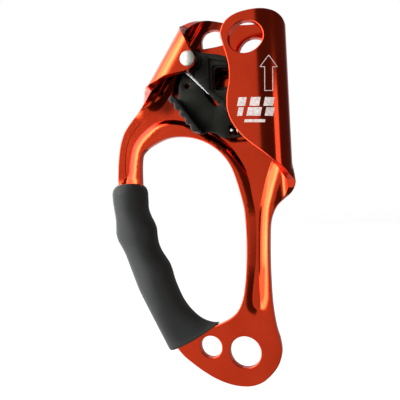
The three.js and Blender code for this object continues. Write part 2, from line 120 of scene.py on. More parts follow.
def sideways(along):
    """Unit directions across the given ones, to their right."""
    along = along / np.maximum(np.linalg.norm(along, axis=1), 1e-9)[:, None]
    return np.stack([along[:, 1], -along[:, 0]], axis=1)


def offset_loop(loop, distance):
    """A counter-clockwise loop moved outwards by distance, and its outward directions."""
    out = sideways(np.roll(loop, -1, axis=0) - np.roll(loop, 1, axis=0))
    return loop + out * distance, out


def inside(points, loop):
    """Which of the points lie within a closed loop."""
    x, z = points[:, 0][:, None], points[:, 1][:, None]
    ax, az = loop[:, 0][None], loop[:, 1][None]
    bx, bz = np.roll(loop[:, 0], -1)[None], np.roll(loop[:, 1], -1)[None]
    with np.errstate(divide="ignore", invalid="ignore"):
        crosses = ((az > z) != (bz > z)) & (x < (bx - ax) * (z - az) / (bz - az) + ax)
    return crosses.sum(axis=1) % 2 == 1


def within(points, outer, holes):
    """Which of the points lie inside outer and outside every hole."""
    keep = inside(points, outer)
    for hole in holes:
        keep &= ~inside(points, hole)
    return keep


def distance_to(points, line):
    """How far each point is from an open line of points."""
    best = np.full(len(points), 1e9)
    for p, q in zip(line[:-1], line[1:]):
        edge = q - p
        length = float(edge @ edge) or 1e-9
        t = np.clip(((points - p) @ edge) / length, 0, 1)
        best = np.minimum(best, np.linalg.norm(points - p - t[:, None] * edge, axis=1))
    return best


# ---------- the frame's flat pattern (x or s along the sheet, z up) ----------
def fold(side, down):
    """A point of the flat pattern, from its distance past the ear's bend line and down along it."""
    return FOLD_TOP + FOLD_ALONG * down + FOLD_SIDE * side


EAR_EDGE = [
    (0, -0.4), (4.8, 0.9), (8.8, 3.6), (12, 7.2), (14.8, 10.6), (19, 12.6), (24, 14), (28.2, 16.4),
    (31.8, 18.7), (35.2, 20.6), (37.6, 22.8), (38.6, 25.2), (38, 28), (35.8, 31), (31.4, 34.7), (28, 38),
    (25, 42.2), (21.4, 46), (18.1, 49.3), (15.5, 52.6), (13.7, 57), (12.8, 62.6),
]
LEFT_POST = [
    (-77.2, -26.3), (-80.3, -30.6), (-82.7, -36.8), (-84.1, -44), (-84.9, -52), (-85.1, -61), (-83.8, -75),
    (-80.4, -91), (-75.2, -106.5), (-68.6, -121), (-61.5, -135),
]
LOBE = [
    (-53, -148.4), (-45, -155.4), (-35, -161.5), (-25.6, -164.8), (-16.8, -165.4), (-10, -163.4),
    (-4.8, -159.2), (-0.6, -153.6), (1.2, -147.6), (0.8, -141.5), (-1, -134.2), (-2.1, -124.2),
]
SPINE_EDGE = [
    (-2.4, -108), (-2, -91.3), (-1.2, -82.4), (1.4, -75.6), (5.2, -71.4), (8.8, -67.9), (11.6, -64.6),
    (14.2, -61.9),
]
WING_EDGE = [
    (18, -59.6), (23.4, -54.8), (30.1, -48.4), (38.4, -41.2), (43.8, -33.8), (46.1, -27), (46, -20),
    (44.6, -13), (44.6, -5), (46.8, 4.8), (47.8, 10.6), (45, 16), (38.9, 18.9), (30, 19.5),
]
TOP_EDGE = [
    (23, 18.2), (18.4, 16.2), (14.5, 14.2), (10.7, 16.1), (6.2, 18.2), (0, 19.2), (-7, 19.2), (-14.4, 20.2),
    (-20, 21.8),
]
HAND_HOLE = [
    (-70.3, -61), (-69.7, -46), (-67, -41.4), (-61, -37.9), (-53.8, -35.6), (-46.4, -35.5), (-38.4, -37.3),
    (-31, -41), (-24.8, -46.4), (-20.6, -53), (-17.9, -61.3), (-16.1, -69), (-14.7, -77), (-14.3, -91),
    (-14.8, -103.1), (-16, -114.3), (-18, -122.8), (-21.8, -128.9), (-28.3, -133.2), (-36, -135.6),
    (-42.5, -132.6), (-48.5, -126.4), (-53.6, -118), (-58.6, -107.4), (-63, -95.6), (-67, -83),
    (-69.4, -71.4),
]
TOP_WINDOW = [
    (-33.5, 10.8), (-33.7, 13), (-33.3, 15.6), (-31, 18.6), (-27, 19.6), (-23.4, 18), (-21.8, 14.6),
    (-21.6, 11.8), (-22.4, 10.7), (-27.8, 10.2), (-32.6, 10.1),
]

# The pressed-in floor behind the cam, with the two grooves that run on from it.
LEFT_BORDER = [
    (-61.8, -16), (-64.2, -19.1), (-66.7, -22.1), (-69.8, -25.1), (-73.6, -29.1), (-76.8, -33.3),
    (-78.9, -38.7), (-79.8, -43), (-80.2, -48), (-80.2, -53), (-79.4, -55.2),
]
HOLE_BORDER = [
    (-79.4, -55.2), (-78.3, -54.6), (-77.4, -52.1), (-76.9, -48.2), (-75.8, -42.8), (-74, -37.9),
    (-70.8, -33.8), (-67.2, -30.8), (-63.5, -28.4), (-60, -27.1), (-55.9, -26.4), (-51.9, -26.5),
    (-47.4, -27.3), (-42, -29), (-35, -32.4), (-28, -36.8), (-21.3, -42.7), (-16.9, -48.8), (-13.5, -55.2),
    (-11.7, -61.5), (-10.5, -68.2), (-9.3, -76), (-8.9, -83.7), (-9.1, -91.3), (-9.8, -101.5),
    (-11.3, -111.7), (-12.4, -119.5), (-12.4, -123.4), (-11.7, -125.4), (-10.4, -126.2),
]
SPINE_BORDER = [
    (-10.4, -126.2), (-9, -125.9), (-8.3, -124), (-8.2, -116), (-8, -101.5), (-7.4, -87.3),
    (-6.7, -78.6), (-5.9, -73.6), (-4.6, -68.5), (-3.6, -64), (-2.4, -60), (-0.7, -55), (0.8, -51.6),
    (3.4, -49.8), (7.6, -50.4), (12.4, -53.4), (18, -58.5), (26, -66), (60, -100),
]

# The outline's round top is squeezed above TOP_EASE.
TOP_EASE, TOP_SQUEEZE = 22, 0.75
RIVET_HOLE = 2.8
# The ear's rivet hole: past the bend line and down along it.
EAR_RIVET = (HALF_TURN + 5.34, 25.4)


def pattern_loops():
    """The sheet's outline and its holes, in the flat pattern."""
    ear = [tuple(fold(side, down)) for side, down in EAR_EDGE]
    outer = spline(ear + LEFT_POST + LOBE + SPINE_EDGE + WING_EDGE + TOP_EDGE, 1.0, closed=True)
    squeezed = TOP_EASE + (outer[:, 1] - TOP_EASE) * TOP_SQUEEZE
    outer[:, 1] = np.where(outer[:, 1] > TOP_EASE, squeezed, outer[:, 1])
    holes = [
        spline(HAND_HOLE, 1.0, closed=True),
        spline(TOP_WINDOW, 0.6, closed=True),
        ring(-17.3, -148, 8, 56),
        ring(-35.2, -145.9, 5.65, 44),
        ring(HALF_TURN + 6.7, 6.8, 7.7, 56, 8.2 / 7.7),
        ring(-6.4, 4.9, 7.5, 52),
        ring(*PIVOT, RIVET_HOLE, 24),
        ring(*fold(*EAR_RIVET), RIVET_HOLE, 24),
    ]
    return wound(outer, 1), [wound(hole, -1) for hole in holes]


LEFT_LINE = spline(LEFT_BORDER, 0.7)
HOLE_LINE = spline(HOLE_BORDER, 0.7)
SPINE_LINE = spline(SPINE_BORDER, 0.7)
# Far points that close the floor's outline round the right, top and upper left of the sheet.
AROUND = np.array([(60, 60), (-120, 60), (-120, 10), (-66, -11)], float)
FLOOR = np.vstack([LEFT_LINE[:-1], HOLE_LINE[:-1], SPINE_LINE, AROUND])


# Heights of the pressed rims above the floor: places in z, lowest first, and the heights there.
HOLE_STEP = (
    (-130, -124, -116, -104, -80, -68, -58, -50, -40),
    (0.5, 0.5, 0.4, 0.18, 0.12, 0.45, 1.2, 2.0, 3.0),
)
SPINE_STEP = ((-131, -126, -118, -105, -90), (0.5, 0.9, 2.0, 2.8, 3.0))
# The middle of the spine's groove: places in z, and its x there.
GROOVE_MIDDLE = ((-126, -118, -101.5, -87, -78, -68, -60), (-10.4, -10.3, -8.9, -8.1, -8.0, -7.5, -7))
# A pressed wall's profile: how blunt its foot is, and how round its top.
FOOT_BLUNT = 0.09
FOOT_SPAN = math.sqrt(1 + FOOT_BLUNT**2) - FOOT_BLUNT
TOP_ROUND = 2.1


def wall_rise(share):
    """Height of a pressed wall, from 0 at its foot to 1, steep first and rounded over at the top."""
    t = np.clip(share, 0, 1)
    t = np.sqrt(t * t + FOOT_BLUNT**2) - FOOT_BLUNT
    return 1 - np.clip(1 - t / FOOT_SPAN, 0, 1) ** TOP_ROUND


def rim_height(x, z, to_hole, to_spine):
    """Height of the pressed rims beside the hand hole and the spine, from the distances to them."""
    share = to_hole**6 / np.maximum(to_hole**6 + to_spine**6, 1e-9)
    right_side = smooth(-0.3, 0.3, x - np.interp(z, *GROOVE_MIDDLE))
    between = smooth(-124, -119, z) * (1 - smooth(-66, -58, z))
    share = share + (right_side - share) * between
    beside_hole = HOLE_WALL + (POST_WALL - HOLE_WALL) * smooth(-58, -66, x)
    beside_spine = SPINE_WALL + 2 * smooth(-74, -58, z)
    width = beside_hole + (beside_spine - beside_hole) * share
    on_spine = smooth(-32, -24, x)
    hole_step = np.interp(z, *HOLE_STEP) * on_spine + PRESS_STEP * (1 - on_spine)
    spine_step = np.interp(z, *SPINE_STEP) * on_spine + PRESS_STEP * (1 - on_spine)
    step = hole_step + (spine_step - hole_step) * share
    climb = np.clip(np.minimum(to_hole, to_spine) / width, 0, 1)
    steep = smooth(0.2, 0.45, step)
    return step * (steep * wall_rise(climb) + (1 - steep) * climb)


def press_height(pattern):
    """How far the sheet is pressed forwards of the back plate."""
    x, z = pattern[:, 0], pattern[:, 1]
    to_left = distance_to(pattern, LEFT_LINE)
    to_hole = distance_to(pattern, HOLE_LINE)
    to_spine = distance_to(pattern, SPINE_LINE)
    floor = 2.5 * smooth(-48, -122, z) * smooth(-32, -24, x)
    rims = floor + rim_height(x, z, to_hole, to_spine)

    # the left post: a low band above its bend, a slope across it below, all raised at the grip
    band = smooth(0, 0.45, to_left) * (0.24 + 0.03 * to_left) * smooth(-17, -26, z)
    height = np.where((x < -60) & (to_left < to_hole), np.maximum(band, 0), rims)
    across = x + 84.2
    below = 0.06 * np.minimum(across, 4.5) + (PRESS_STEP - 0.3) * smooth(4, 12, across)
    below += (PRESS_STEP - below) * smooth(-66, -90, z)
    height = height + (below - height) * smooth(-54, -58.5, z) * (x < -60)
    return np.where(inside(pattern, FLOOR), floor, height)


def bend_line():
    """The bent sheet's section: places along it, and the middle there, eased into the front leaf."""
    tight = BEND_MID * BEND_TIGHTER
    end = math.pi * tight
    places = np.linspace(0, end + EASE, 1400)
    curl = np.clip((end + EASE - places) / (2 * EASE), 0, 1) / tight
    gap = places[1] - places[0]
    turn = np.concatenate([[0], np.cumsum((curl[1:] + curl[:-1]) / 2 * gap)])
    middle = (turn[1:] + turn[:-1]) / 2
    x = np.concatenate([[0], np.cumsum(np.cos(middle) * gap)])
    y = BEND_MID - np.concatenate([[0], np.cumsum(np.sin(middle) * gap)])
    return places, x, y


BEND_PLACES, BEND_X, BEND_Y = bend_line()


def bent(along):
    """Where a point of the sheet lies after bending: across, and in depth. Flat before 0."""
    past = np.maximum(along - BEND_PLACES[-1], 0)
    x = np.where(along > 0, np.interp(along, BEND_PLACES, BEND_X) - past, along)
    return x, np.interp(along, BEND_PLACES, BEND_Y)


def sheet_mid(pattern):
    """The middle of the bent and pressed sheet, for points of its flat pattern."""
    p, q = pattern[:, 0], pattern[:, 1]
    height = press_height(pattern)
    pressed = height / PRESS_STEP

    bend_x, bend_y = bent(p)
    turn = np.maximum(p - FOOT_FLAT, 0) / FOOT_RADIUS
    foot_x = np.where(turn > 0, FOOT_FLAT + FOOT_RADIUS * np.sin(turn), p)
    foot_y = BEND_MID - PRESS_STEP - FOOT_RADIUS * (1 - np.cos(turn))
    x = bend_x + (foot_x - bend_x) * pressed
    y = bend_y + (foot_y - bend_y) * pressed
    z = q.copy()

    offset = pattern - FOLD_TOP
    side = offset @ FOLD_SIDE
    down = offset @ FOLD_ALONG
    bent_side, bent_depth = bent(side)
    grip = np.where((side > 0) & (p < -20), 1 - smooth(46, 66, down), 0)
    shift = (bent_side - side) * grip
    x = x + FOLD_SIDE[0] * shift
    z = z + FOLD_SIDE[1] * shift
    y = y + (bent_depth - y) * grip
    return np.stack([x, y, z], axis=1)


def sheet_frame(pattern):
    """Middle points, unit normals on the inner side, and the two in-sheet directions."""
    reach = 0.05
    mid = sheet_mid(pattern)
    du = (sheet_mid(pattern + [reach, 0]) - sheet_mid(pattern - [reach, 0])) / (2 * reach)
    dv = (sheet_mid(pattern + [0, reach]) - sheet_mid(pattern - [0, reach])) / (2 * reach)
    normal = np.cross(du, dv)
    normal /= np.linalg.norm(normal, axis=1)[:, None]
    return mid, normal, du, dv


# ---------- meshes ----------
SHARP_ANGLE = math.radians(50)


def linked(name, data):
    """A new object of the data, in the scene."""
    obj = bpy.data.objects.new(name, data)
    bpy.context.scene.collection.objects.link(obj)
    return obj


def new_object(name, vertices, faces, material, smooth_faces=True):
    mesh = bpy.data.meshes.new(name)
    mesh.from_pydata([tuple(v) for v in vertices], [], [tuple(f) for f in faces])
    mesh.validate()
    mesh.materials.append(material)
    if smooth_faces:
        mesh.shade_smooth()
    return linked(name, mesh)


def face_outwards(obj):
    fix = bmesh.new()
    fix.from_mesh(obj.data)
    bmesh.ops.recalc_face_normals(fix, faces=fix.faces)
    fix.to_mesh(obj.data)
    fix.free()


def wrapped(rows, count, start=0):
    """Faces that join rows of count points, each row a closed ring."""
    faces = []
    for row in range(rows - 1):
        a, b = start + row * count, start + (row + 1) * count
        faces += [(a + k, a + (k + 1) % count, b + (k + 1) % count, b + k) for k in range(count)]
    return faces


def capped(rows, count):
    """Faces that join rows of count points round, with one more over the first row and the last."""
    return wrapped(rows, count) + [tuple(range(count)), tuple(range((rows - 1) * count, rows * count))]


def triangulated(points, loops, outer, holes):
    """Triangles between points, of which the first ones make up the loops.

    Gives the points placed, the triangles inside outer and outside the holes, and the number of the
    given point that each placed one comes from, or 0 where two edges cross.
    """
    edges = []
    for loop in loops:
        start, count = len(edges), len(loop)
        edges += [(start + i, start + (i + 1) % count) for i in range(count)]
    placed, _, cells, source, _, _ = delaunay_2d_cdt([Vector(p) for p in points], edges, [], 0, 1e-6)
    spots = np.array([tuple(v) for v in placed])
    cells = np.array([tuple(c) for c in cells])
    cells = cells[within(spots[cells].mean(axis=1), outer, holes)]
    corners = spots[cells]
    ab = corners[:, 1] - corners[:, 0]
    ac = corners[:, 2] - corners[:, 0]
    turned = ab[:, 0] * ac[:, 1] - ab[:, 1] * ac[:, 0] < 0
    cells[turned] = cells[turned][:, ::-1]
    return spots, cells, np.array([s[0] if s else 0 for s in source])


# ---------- the frame's sheet ----------
RIM_ANGLES = (90, 62, 34, 0)
GRID_SPACING = 1.25
# Rows of points beside the pressed borders, the clear strip round them, and the least gaps.
BORDER_ROWS = (-1.1, -0.55, -0.2, 0, 0.2, 0.5, 0.85, 1.2)
BORDER_CLEAR = 1.25
RIM_GAP = 0.42 * GRID_SPACING
LEAST_GAP = 0.17


def grid_points(low, high):
    """A triangular grid of points between two corners."""
    rows = []
    z = low[1]
    while z < high[1]:
        x = np.arange(low[0] + (len(rows) % 2) * GRID_SPACING / 2, high[0], GRID_SPACING)
        rows.append(np.stack([x, np.full_like(x, z)], axis=1))
        z += GRID_SPACING * 0.866
    return np.vstack(rows)


def fill_points(loops, outer, holes):
    """Points inside the pattern, denser beside the pressed steps, clear of the loops."""
    rims = np.vstack(loops)
    tree = KDTree(len(rims))
    for index, (x, z) in enumerate(rims):
        tree.insert((x, z, 0), index)
    tree.balance()
    grid = grid_points(outer.min(axis=0), outer.max(axis=0))
    borders = np.vstack([LEFT_LINE[:-1], HOLE_LINE[:-1], SPINE_LINE])
    grid = grid[distance_to(grid, borders) > BORDER_CLEAR]
    out = sideways(np.gradient(borders, axis=0))
    points = np.vstack([borders + out * reach for reach in BORDER_ROWS] + [grid])
    points = points[within(points, outer, holes)]
    return thin_out([point for point in points if tree.find((*point, 0))[2] > RIM_GAP])


def thin_out(points):
    """Drops points that lie closer than LEAST_GAP to an earlier one."""
    cells, kept = {}, []
    for x, z in points:
        i, j = int(x // LEAST_GAP), int(z // LEAST_GAP)
        near = [spot for a in (i - 1, i, i + 1) for b in (j - 1, j, j + 1) for spot in cells.get((a, b), ())]
        if all((x - p) ** 2 + (z - q) ** 2 > LEAST_GAP * LEAST_GAP for p, q in near):
            cells.setdefault((i, j), []).append((x, z))
            kept.append((x, z))
    return np.array(kept)


def flat_mesh():
    """The flat pattern's points and triangles, and each point's edge tilt and outward direction."""
    outer, holes = pattern_loops()
    loops, tilt, outward = [], [], []
    for loop in [outer] + holes:
        for angle in np.radians(RIM_ANGLES):
            moved, out = offset_loop(loop, -EDGE_ROUND * (1 - math.sin(angle)))
            loops.append(moved)
            tilt.append(np.full(len(moved), angle))
            outward.append(out)
    inner = fill_points(loops, outer, holes)
    tilt = np.concatenate(tilt + [np.zeros(len(inner))])
    outward = np.vstack(outward + [np.zeros_like(inner)])
    spots, triangles, first = triangulated(np.vstack(loops + [inner]), loops, outer, holes)
    return spots, triangles, tilt[first], outward[first]


def frame_sheet(material):
    """The bent and pressed sheet, with rounded edges."""
    spots, triangles, tilt, outward = flat_mesh()
    mid, normal, du, dv = sheet_frame(spots)
    out = du * outward[:, :1] + dv * outward[:, 1:]
    out -= normal * np.sum(out * normal, axis=1)[:, None]
    size = np.linalg.norm(out, axis=1)[:, None]
    out = np.where(size > 0, out / np.maximum(size, 1e-9), 0)
    lean_in = np.cos(tilt)[:, None]
    lean_out = np.sin(tilt)[:, None]
    half = SHEET / 2 - EDGE_ROUND + EDGE_ROUND * lean_in
    front, back = mid + normal * half, mid - normal * half
    normals = np.vstack([normal * lean_in + out * lean_out, -normal * lean_in + out * lean_out])
    count = len(spots)
    faces = [tuple(t) for t in triangles] + [tuple(t[::-1] + count) for t in triangles]
    # the cut edge joins the front and back rims of each loop
    edges = {edge: True for a, b, c in triangles for edge in ((a, b), (b, c), (c, a))}
    faces += [(b, a, a + count, b + count) for a, b in edges if (b, a) not in edges]
    obj = new_object("frame_sheet", np.vstack([front, back]) * MM, faces, material)
    obj.data.normals_split_custom_set_from_vertices([tuple(n) for n in normals])
    return obj


# ---------- grip ----------
# Pairs of points on the grip's two silhouettes, from its top down to the lobe.
GRIP_SECTIONS = [
    ((-86.6, -64.2), (-68.4, -64.0)), ((-86.5, -68.4), (-68.3, -68.4)), ((-85.9, -73.2), (-68.2, -72.6)),
    ((-85.4, -78.2), (-66.9, -76.6)), ((-85.6, -82.8), (-65.2, -79.8)), ((-85.7, -86.0), (-63.9, -83.2)),
    ((-84.8, -89.4), (-63.6, -87.0)), ((-82.8, -92.9), (-63.2, -91.0)), ((-80.6, -97.0), (-61.9, -95.0)),
    ((-78.8, -102.1), (-59.5, -99)), ((-76.6, -108.2), (-57.2, -102.6)), ((-75, -112.4), (-55.9, -106.4)),
    ((-73.1, -116.9), (-54.8, -111)), ((-70, -123.2), (-52.7, -116.6)), ((-66.9, -129.4), (-49.8, -122.2)),
    ((-64.5, -134.4), (-46, -126.8)), ((-62.4, -139), (-41.7, -130.4)), ((-60.6, -142.9), (-37.4, -132.5)),
    ((-59.3, -145.9), (-33.6, -133.3)), ((-58.2, -148), (-30.5, -133.2)),
]
GRIP_CENTRE = 6.25
GRIP_DEPTH = 10.8
GRIP_END_DEPTH = 8.9
GRIP_TOP_ROUND = 5.2
GRIP_END_ROUND = 1.6
GRIP_END_THIN = 0.66
GRIP_END_BOW = 0.9
GRIP_END_WAY = np.array([0.46, -0.89])
# The sections are superellipses of this power.
GRIP_POWER = 2.25


def grip_ring(left, right, depth, thin, bow, count=44):
    """One closed section of the grip, thinner towards the right, its middle bowed down the grip."""
    turn = np.linspace(0, 2 * math.pi, count, endpoint=False)
    power = 2 / GRIP_POWER
    across = np.sign(np.cos(turn)) * np.abs(np.cos(turn)) ** power
    deep = np.sign(np.sin(turn)) * np.abs(np.sin(turn)) ** power
    reach = depth * (1 - thin * (across + 1) / 2)
    middle, half = (left + right) / 2, (right - left) / 2
    place = middle + half * across[:, None] + bow * (1 - across**2)[:, None] * GRIP_END_WAY
    return np.stack([place[:, 0], GRIP_CENTRE + reach * deep, place[:, 1]], axis=1)


def lofted(name, rings, material):
    """A closed mesh through rings of points, capped at both ends."""
    count = len(rings[0])
    faces = wrapped(len(rings), count)
    last, top = (len(rings) - 1) * count, len(rings) * count
    vertices = np.vstack(rings + [rings[0].mean(axis=0)[None], rings[-1].mean(axis=0)[None]])
    for i in range(count):
        j = (i + 1) % count
        faces.append((j, i, top))
        faces.append((last + i, last + j, top + 1))
    obj = new_object(name, vertices * MM, faces, material)
    face_outwards(obj)
    return obj


def rubber_grip(material):
    """The grip: a rounded top, the length with its finger bumps, and a rounded end on the lobe."""
    left, right = np.array(GRIP_SECTIONS).transpose(1, 0, 2)
    rings = []
    for turn in np.radians((90, 74, 58, 42, 27, 13)):
        shrink = GRIP_TOP_ROUND * (1 - math.cos(turn))
        lift = GRIP_TOP_ROUND * math.sin(turn)
        a = left[0] + np.array([shrink * 1.02, lift])
        b = right[0] + np.array([-shrink * 0.95, lift])
        rings.append(grip_ring(a, b, GRIP_DEPTH - shrink * 0.75, 0, 0))
    last = len(left) - 1
    places = np.linspace(0, last, 6 * last + 1)
    for share, a, b in zip(places / last, resampled(left, places), resampled(right, places)):
        depth = GRIP_DEPTH - 0.9 * math.sin(math.pi * min(share * 1.6, 1)) + 0.2
        depth -= 1.8 * float(smooth(0.72, 1, share))
        thin = GRIP_END_THIN * float(smooth(0.62, 1, share))
        rings.append(grip_ring(a, b, depth, thin, GRIP_END_BOW * float(smooth(0.75, 1, share))))
    a, b = left[-1], right[-1]
    along = (b - a) / np.linalg.norm(b - a)
    for turn in np.radians((30, 60, 90)):
        shift = GRIP_END_WAY * GRIP_END_ROUND * math.sin(turn)
        inset = GRIP_END_ROUND * (1 - math.cos(turn))
        ends = (a + shift * 0.55 + along * inset, b + shift * 0.3 - along * inset)
        rings.append(grip_ring(*ends, GRIP_END_DEPTH - inset, GRIP_END_THIN, GRIP_END_BOW))
    return lofted("rubber_grip", rings, material)


# ---------- cam and trigger (points from the pivot) ----------
def arc(x, z, radius, start, end, steps):
    turn = np.radians(np.linspace(start, end, steps + 1))
    return [(x + radius * math.cos(t), z + radius * math.sin(t)) for t in turn]


def dense(points, spacing=0.7):
    """A closed straight-sided outline with points no further apart than spacing."""
    found = []
    for (ax, az), (bx, bz) in zip(points, points[1:] + points[:1]):
        count = max(1, math.ceil(math.hypot(bx - ax, bz - az) / spacing))
        found += [(ax + (bx - ax) * k / count, az + (bz - az) * k / count) for k in range(count)]
    return found


def softened(points, rounds, spacing=0.7):
    """Corners of a closed outline eased by averaging neighbours."""
    loop = np.array(dense(points, spacing))
    for _ in range(rounds):
        loop = 0.5 * loop + 0.25 * (np.roll(loop, 1, axis=0) + np.roll(loop, -1, axis=0))
    return loop


def rounded_plate(outer, holes, front, back, radius):
    """Vertices and faces of a plate across Y with rounded edges; its outline starts from the pivot."""
    loops = [wound(outer, 1)] + [wound(hole, -1) for hole in holes]
    angles = (0, 30, 60, 90)
    bends = [(front, 1, angle) for angle in angles] + [(back, -1, angle) for angle in reversed(angles)]
    vertices, faces = [], []
    caps = ([], [])
    for loop in loops:
        start, count = len(vertices), len(loop)
        for y, way, angle in bends:
            turn = math.radians(angle)
            rim, _ = offset_loop(loop, -radius * (1 - math.sin(turn)))
            depth = y + way * radius * (1 - math.cos(turn))
            vertices += [(x + PIVOT[0], depth, z + PIVOT[1]) for x, z in rim]
            if angle == 0:
                caps[way < 0].append((len(vertices) - count, rim))
        faces += wrapped(len(bends), count, start)
    for cap, step in zip(caps, (1, -1)):
        rims = [rim for _, rim in cap]
        index = [start + i for start, rim in cap for i in range(len(rim))]
        _, cells, first = triangulated(np.vstack(rims), rims, rims[0], rims[1:])
        faces += [tuple(index[first[k]] for k in cell[::step]) for cell in cells]
    return vertices, faces


def merged(name, parts, material):
    """One mesh object from several (vertices, faces) shells."""
    vertices, faces = [], []
    for points, cells in parts:
        start = len(vertices)
        vertices += list(points)
        faces += [tuple(start + i for i in cell) for cell in cells]
    obj = new_object(name, np.array(vertices) * MM, faces, material)
    face_outwards(obj)
    obj.data.set_sharp_from_angle(angle=SHARP_ANGLE)
    return obj


def lathed(profile, centre, sides=48):
    """Vertices and faces of a solid turned about a line along Y, from (radius, y) points."""
    vertices = [(x, y, z) for radius, y in profile for x, z in ring(*centre, radius, sides)]
    return vertices, capped(len(profile), sides)


# The cam's face: its spiral, and where it starts and ends in degrees.
CAM_REACH, CAM_REACH_AT, CAM_SPIRAL = 42.2, -15, 0.268
CAM_FACE = (-34, -14)
CHEEK_FRONT = -6.2
HUB, BORE = 5.8, 3.9


def cam_radius(degrees):
    """The cam face's distance from the pivot: a spiral that shrinks as it climbs."""
    return CAM_REACH * math.exp(-CAM_SPIRAL * math.radians(degrees - CAM_REACH_AT))


def cam_face(steps, setback=0.0):
    """Points up the cam's face, or the same set back towards the pivot."""
    found = []
    for degrees in np.linspace(*CAM_FACE, steps + 1):
        radius, turn = cam_radius(degrees) - setback, math.radians(degrees)
        found.append((radius * math.cos(turn), radius * math.sin(turn)))
    return found


# The outlines below start from the pivot.
CAM_TOP = [(30, -4.4), (17.8, 0.3), (13.8, 1.9), (4.2, 4)]
CHEEK = (
    arc(0, 0, HUB, 55, 222, 30) + [(17, -26.7), (20.4, -30.2), (25, -31), (31, -28.6)]
    + cam_face(20, 3.6) + CAM_TOP
)
BACK_CHEEK = (
    arc(0, 0, HUB, 55, 232, 30)
    + [(7.5, -13.2), (12, -20), (13.6, -26), (16.2, -33.8), (17, -37.4), (19.6, -37.4), (19.8, -33)]
    + [(24.4, -29.8), (32, -29.2)] + cam_face(20, 0.3) + CAM_TOP
)
CAM_BLOCK = [(30, -12.5), (28, -17), (29, -24), (33, -27.6)] + cam_face(20) + [(37, -9)]
CAM_WINDOW = arc(13.6, -6.2, 2, 180, 90, 6) + [(25, -5.4), (25, -15.6), (12.6, -15.6), (11.6, -14.6)]
BACK_WINDOW = arc(13.4, -8.6, 4.5, 270, 90, 16) + [(25, -4.1), (25, -13.1)]
OUTER_POCKET = [(9.2, 0.4), (30, -5.4), (30, -24), (20, -24), (9.2, -15.2)]
INNER_POCKET = [(10.6, -3), (28, -5), (28, -19.4), (19, -19.4), (10.6, -16)]
GUIDE_PIN = (16.5, -21.5)
# Rows of teeth: the first row's place below the face's top and the pitch in degrees, the gap in a row.
TOOTH_ROWS, TOOTH_FIRST, TOOTH_PITCH, TOOTH_GAP = 6, 2.2, 3.1, 3
# A tooth's section: heights above the cam's face and the radii there, and how far it leans up.
TOOTH_SECTION = ((-0.6, 1.0), (0.0, 0.95), (0.8, 0.5), (1.15, 0.18))
TOOTH_LEAN = 0.3
# The cheek's bright edge, a painted highlight in lighter steel: its four corners, and how far it stands out
# and how deep it goes.
HIGHLIGHT_EDGE = [(-3.3, -4.95), (8.6, -17.68), (8.95, -17.4), (-2.1, -4.0)]
HIGHLIGHT_PROUD, HIGHLIGHT_DEEP = 0.16, 0.3


def cam_shells():
    """The cam: a front cheek in three layers with its stepped pocket, a back cheek, a block and teeth."""
    cheek, bore, pin = softened(CHEEK, 2), ring(0, 0, BORE, 40), ring(*GUIDE_PIN, 1.4, 20)
    outer_pocket, inner_pocket = softened(OUTER_POCKET, 2), softened(INNER_POCKET, 2)
    window = softened(CAM_WINDOW, 2)
    front = CHEEK_FRONT
    shells = [
        rounded_plate(cheek, [bore, outer_pocket], front, front + 1.1, 0.28),
        rounded_plate(cheek, [bore, inner_pocket, pin], front + 0.9, front + 2.1, 0.16),
        rounded_plate(cheek, [bore, window, pin], front + 1.9, front + 3, 0.16),
        rounded_plate(softened(BACK_CHEEK, 2), [bore, softened(BACK_WINDOW, 1), pin], -0.1, 3.4, 0.3),
        rounded_plate(softened(CAM_BLOCK, 2), [], -4.6, 4.6, 0.4),
    ]
    for row in range(TOOTH_ROWS):
        degrees = CAM_FACE[1] - TOOTH_FIRST - TOOTH_PITCH * row
        columns = 2 if row % 2 else 3
        for column in range(columns):
            shells.append(tooth(degrees, (column - (columns - 1) / 2) * TOOTH_GAP))
    return shells


def tooth(degrees, y, sides=16):
    """A small leaning cone on the cam's face."""
    radius, turn = cam_radius(degrees), math.radians(degrees)
    out = np.array([math.cos(turn + TOOTH_LEAN), 0, math.sin(turn + TOOTH_LEAN)])
    across = np.array([-out[2], 0, out[0]])
    foot = np.array([PIVOT[0] + radius * math.cos(turn), y, PIVOT[1] + radius * math.sin(turn)])
    vertices = []
    for rise, width in TOOTH_SECTION:
        for x, depth in ring(0, 0, width, sides):
            vertices.append(foot + out * rise + across * x + np.array([0, depth, 0]))
    return vertices, capped(len(TOOTH_SECTION), sides)


def highlight_edge():
    """The chamfer along the cheek's lower edge, in lighter steel as a painted highlight, running out to a
    point.
    """
    outline = np.array(dense(HIGHLIGHT_EDGE, 0.6))
    return rounded_plate(outline, [], CHEEK_FRONT - HIGHLIGHT_PROUD, CHEEK_FRONT + HIGHLIGHT_DEEP, 0.08)


PAD_START = np.array([-8.7, -17.0])
PAD_ALONG = np.array([0.575, -0.818])
PAD_OUT = np.array([-0.818, -0.575])
PAD_LENGTH = 23.0
RIDGES = 5
# Places out from PAD_START: the flange's faces, and the pad's inner face, valleys and ridge tops.
FLANGE = (0.0, 1.6)
PAD_COVER, PAD_VALLEY, PAD_TOP = -0.2, 1.9, 3.0
PAD_FRONT, PAD_BACK = -12.6, -3.2
FLANGE_FRONT = -12.4
TRIGGER_FRONT, TRIGGER_BACK = -2.9, -0.4


def pad_point(along, out):
    """A place on the pad, by the lengths along it and out of it."""
    return tuple(PAD_START + PAD_ALONG * along + PAD_OUT * out)


